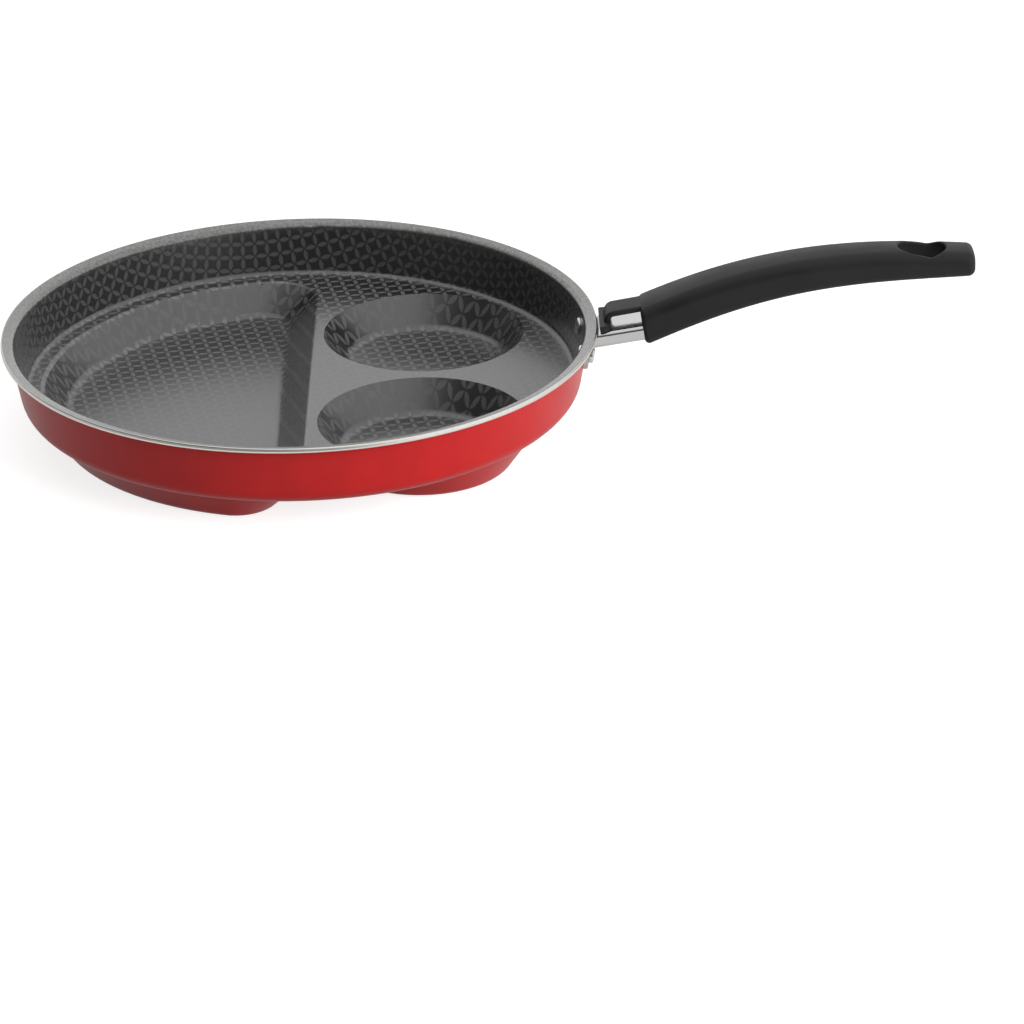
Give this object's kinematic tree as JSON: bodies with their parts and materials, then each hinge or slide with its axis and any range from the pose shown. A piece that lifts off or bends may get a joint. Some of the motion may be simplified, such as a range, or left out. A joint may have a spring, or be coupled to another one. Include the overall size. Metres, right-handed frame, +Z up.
{
  "type": "divided frying pan",
  "caption": "Round frying pan divided into a half-moon tray and round wells, with a fixed arched grip, a riveted bracket and a hanging hole.",
  "frame": {"origin": "on the axis of the round rim, in the plane that the pan stands on", "axes": "+X from the rim's axis along the handle towards the grip's end, +Z up out of the pan's mouth"},
  "size_m": [0.4553, 0.2796, 0.0823],
  "materials": {
    "pan_coating": "gloss red enamel outside, satin grey non-stick inside",
    "rivet_metal": "satin",
    "bracket_steel": "satin",
    "guard_steel": "polished",
    "grip_resin": "satin, finely grained",
    "screw_steel": "bright plated"
  },
  "bodies": {
    "root": {"pan_body": "pan_coating", "wall_rivets": "rivet_metal", "handle_bracket": "bracket_steel", "flame_guard": "guard_steel", "grip": "grip_resin", "grip_screw": "screw_steel"}
  },
  "joints": []
}
